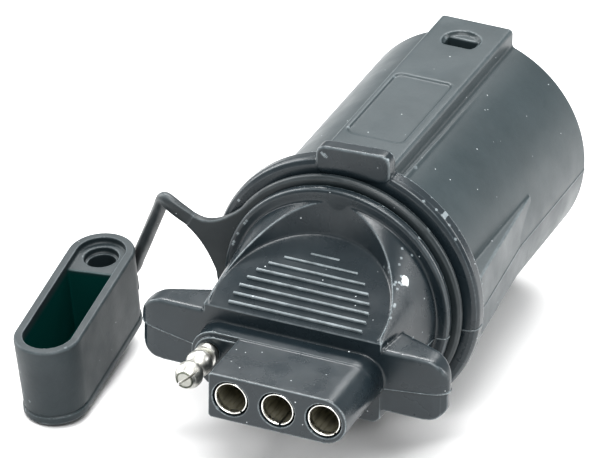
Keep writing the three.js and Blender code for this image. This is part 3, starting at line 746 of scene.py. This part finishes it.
def bezier(a, b, c, d, steps=20):
    """Points of a cubic curve."""
    return [tuple((1 - t) ** 3 * p + 3 * t * (1 - t) ** 2 * q + 3 * t * t * (1 - t) * r + t ** 3 * s
                  for p, q, r, s in zip(a, b, c, d)) for t in (i / steps for i in range(steps + 1))]


def ring_body():
    """The ring in the grip's groove, and the web that flows out into the strap."""
    y0, y1 = RING_Y - RING_T / 2, RING_Y + RING_T / 2
    inner = NECK_R + GAP
    ring = turned("ring", [(inner, y0), (RING_OUT - 0.5, y0), (RING_OUT, y0 + 0.5), (RING_OUT, y1 - 0.4),
                           (RING_OUT - 0.4, y1), (inner, y1)])
    outline = (bezier((-17.4, 17.6), (-24.0, 9.2), (-28.36, 8.29), WEB_TOP)
               + bezier(WEB_LOW, (-29.5, 5.2), (-26.6, 1.8), (-24.3, -6.0)) + [(-23.4, 0), (-20.8, 10)])
    plate = cut(prism(outline, y0, y1), rod(inner + 0.8, y0 - 1, y1 + 1))
    return join(ring, plate)


# ---- dust cap ----
def cap_loft(sections, steps=40):
    """A hull of stadium outlines, each a (radius, z), in the cap's own frame."""
    points = []
    for r, z in sections:
        for end, a0 in ((CAP_HALF, 0.0), (-CAP_HALF, math.pi)):
            angles = [a0 + math.pi * i / steps for i in range(steps + 1)]
            points += [(r * math.cos(a), end + r * math.sin(a), z) for a in angles]
    return hull(points)


def cap_hole(r, z0, z1):
    """A round hole for the bare pin, at the centre of the cap's far end."""
    return hull([(r * math.cos(2 * math.pi * i / 64), CAP_HALF + r * math.sin(2 * math.pi * i / 64), z)
                 for z in (z0, z1) for i in range(64)])


def cap_body():
    """The cap: a tapered wall on a foot band, the strap's lug, the cavity, and the boss with its hole."""
    band = CAP_BAND
    wall = cap_loft([(CAP_FOOT, band - 0.6), (CAP_R, CAP_H - 0.3), (CAP_R - 0.3, CAP_H)])
    foot_r = CAP_FOOT + FOOT_OUT
    foot = cap_loft([(CAP_FOOT - FOOT_CHAMFER, 0), (foot_r, FOOT_RISE), (foot_r, band)])
    lug = box(CAP_R - LUG_OUT - 0.8, CAP_R + LUG_OUT + 0.8, -1.2, 1.2, LUG_TOP - 3.4, LUG_TOP)
    lug.data.transform(Matrix.Translation((0, CAP_HALF, 0)) @ Matrix.Rotation(LUG_ANGLE, 4, "Z"))
    body = join(wall, foot, lug)
    cut(body, cap_loft([(CAP_IN - 0.15, CAP_BASE), (CAP_IN, CAP_H + 1)]),
        cut(cap_loft([(CAP_R + 1, band), (CAP_R + 1, band + 0.35)]),
            cap_loft([(CAP_FOOT - 0.3, band - 1), (CAP_FOOT - 0.3, band + 1)])))
    boss = common(box(-CAP_R, CAP_R, CAP_HALF - BOSS_REACH, CAP_HALF + 6, CAP_BASE - 1, CAP_H - BOSS_BELOW),
                  cap_loft([(CAP_IN + 0.6, 0), (CAP_IN + 0.6, CAP_H)]))
    join(body, boss)
    cut(body, cap_hole(HOLE_RIM_R, CAP_H - BOSS_BELOW - 1.3, CAP_H + 1), cap_hole(HOLE_R, 3.2, CAP_H))
    return body


def mark_inside(obj):
    """Marks how deep in the standing cap's cavity each point lies, from 0 at the rim to 1, for the painted
    shade there.
    """
    own_frame = CAP_PLACE.inverted()
    mark = obj.data.attributes.new("inside", "FLOAT", "POINT")
    for vertex, value in zip(obj.data.vertices, mark.data):
        x, y, z = own_frame @ vertex.co
        out = math.hypot(x, max(0, abs(y) - CAP_HALF))
        if out < (CAP_IN + CAP_R) / 2 and CAP_BASE / 2 < z and y < CAP_HALF - BOSS_REACH + 0.4:
            value.value = min(1, max(0, (CAP_H - 0.9 - z) / 1.5))


# ---- terminals ----
SLEEVE_Y, SLEEVE_R, SLEEVE_BORE = 0.3, 3.35, 2.9
TAIL_R, TAIL_END = 1.7, 26
SLIT_HALF, PIN_SLOT_TURN = 0.25, 48


def turned_box(x, z, z0, z1, y1, degrees):
    """A thin upright box from z0 to z1 beside a terminal's middle, turned about the terminal's line."""
    slit = box(-SLIT_HALF, SLIT_HALF, 0, y1, z0, z1)
    slit.data.transform(Matrix.Translation((x, 0, z)) @ Matrix.Rotation(math.radians(degrees), 4, "Y"))
    return slit


def sleeve(x, slit_turn):
    """A split sleeve with a flared mouth and a closed tail."""
    body = turned("sleeve", [
        (0, 15.2), (SLEEVE_BORE, 15.2), (SLEEVE_BORE, 0.9), (SLEEVE_BORE + 0.08, 0.5),
        (SLEEVE_BORE + 0.2, SLEEVE_Y), (SLEEVE_R - 0.12, SLEEVE_Y), (SLEEVE_R, SLEEVE_Y + 0.12),
        (SLEEVE_R, 16.2), (TAIL_R, 16.6), (TAIL_R, TAIL_END), (0, TAIL_END)], 96, x, FLAT_Z)
    return cut(body, turned_box(x, FLAT_Z, -5, -2, 11, -slit_turn))


def pin():
    """The bare pin: a slotted tip with a raised rim, two balls, a waisted shank and a tail."""
    profile = [(0, 1.7), (1.42, 1.7), (1.46, 1.42), (1.6, 1.4), (1.7, 1.52)]
    for y, r, start in ((3.9, 2.7, 0.215), (8.5, 2.6, 0.17)):
        for i in range(1, 24):
            a = math.pi * (start + (0.95 - start) * i / 24)
            profile.append((r * math.sin(a), y - r * math.cos(a)))
    profile += [(1.9, 11.0), (2.3, 11.15), (2.3, 12.4), (TAIL_R, 12.8), (TAIL_R, TAIL_END), (0, TAIL_END)]
    body = turned("pin", profile, 96, PIN_X, PIN_Z)
    return cut(body, turned_box(PIN_X, PIN_Z, -4, 4, 3.6, PIN_SLOT_TURN))


# ---- make everything ----
strap_piece, strap_path, strap_length = strap()
cap = cap_body()
soften(cap, 0.2, 4)
cap.data.transform(CAP_PLACE)
# marks where the cap's material paints shade in its cavity
mark_inside(cap)
cap = dress(to_row(cap, "dust_cap_moulding"), CAP, "dust_cap", "cap_rubber", "dust_cap")

grip = soften(grip_body(), 0.2, 3)
cut(grip, box(-10, 10, FLANGE_Y - 1, GRIP_END + 1, FLOOR_MM - 3, FLOOR_MM))     # it stands on its flange
grip_flash = parting_flash(grip, PARTING, 0.12, WING_Y - 1, GRIP_END - 0.1)
dress(to_row(grip, "grip_moulding"), GRIP, "housing", "grip_black", "grip_housing")
dress(to_row(grip_flash, "grip_parting_line"), GRIP, "housing", "grip_black", "grip_housing")
dress(to_row(grip_bars(), "grip_bars"), GRIP, "housing", "grip_black", "grip_housing")
shell = soften(shell_body(), 0.25, 4)
shell_flash = parting_flash(shell, BARREL_PARTING, 0.1, SHELL_Y + 0.2, LENGTH - 0.3)
dress(to_row(shell, "shell_moulding"), SHELL, "housing", "shell_grey", "plug_shell")
dress(to_row(shell_flash, "shell_parting_line"), SHELL, "housing", "shell_grey", "plug_shell")
ring = soften(ring_body(), 0.2, 4)
dress(to_row(ring, "tether_ring_moulding"), RUBBER, "tether_ring", "rubber_black", "tether_ring")
for name, (x, slit_turn) in SOCKETS.items():
    piece = bevelled(sleeve(x, slit_turn), 0.05)
    dress(to_row(piece, f"sleeve_{name}"), SLEEVE, "housing", "nickel", f"socket_{name}")
dress(to_row(bevelled(pin(), 0.06), "bullet_pin"), NICKEL, "housing", "nickel", "ground_pin")

for node, material in (("blade_carrier", CARRIER), ("potting_disc", POTTING), ("terminal_holder", HOLDER)):
    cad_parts[node].material_slots[0].material = material
for name, material in LEADS.items():
    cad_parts[f"wire_{name}"].material_slots[0].material = material
    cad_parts[f"blade_{name}"].material_slots[0].material = BRASS


# ---- floor, lights and view ----
FLOOR_SIZE, WORLD_LIGHT = 6.0, 0.5
LIGHT_AIM = Vector((0, 0, 0.02))


def make_floor():
    bpy.ops.mesh.primitive_plane_add(size=FLOOR_SIZE, location=(0, 0, 0))
    floor = bpy.context.object
    floor.name = "floor"
    m = Nodes("floor_paper")
    m.feed(m.shader.inputs["Base Color"], m.mix(m.noise(4), rgb(0.77, 0.77, 0.77), rgb(0.79, 0.79, 0.79)))
    m.shader.inputs["Roughness"].default_value = 0.9
    m.shader.inputs["Specular IOR Level"].default_value = 0.1
    floor.data.materials.append(m.material)


def area_light(name, at, size, power):
    data = bpy.data.lights.new(name, "AREA")
    data.shape, data.size, data.size_y, data.energy = "RECTANGLE", size[0], size[1], power
    light = bpy.data.objects.new(name, data)
    bpy.context.collection.objects.link(light)
    place = Vector(at)
    turn = (place - LIGHT_AIM).to_track_quat("Z", "Y")
    light.matrix_world = Matrix.Translation(place) @ turn.to_matrix().to_4x4()


make_floor()
area_light("back_softbox", (-0.25, 0.65, 0.85), (0.9, 0.18), 9)
area_light("top_softbox", (0.05, -0.05, 1.1), (0.9, 0.12), 6)
area_light("front_softbox", (0.3, -0.75, 1.05), (0.9, 0.45), 13)
area_light("left_softbox", (-0.9, 0.1, 0.45), (0.3, 0.7), 6)
area_light("right_softbox", (0.9, 0.45, 0.35), (0.3, 0.7), 5)
world = bpy.data.worlds.new("studio")
world.use_nodes = True
world.node_tree.nodes["Background"].inputs["Color"].default_value = (1, 1, 1, 1)
world.node_tree.nodes["Background"].inputs["Strength"].default_value = WORLD_LIGHT
bpy.context.scene.world = world
bpy.context.scene.view_settings.view_transform = "Standard"
bpy.context.scene.view_settings.look = "Medium High Contrast"
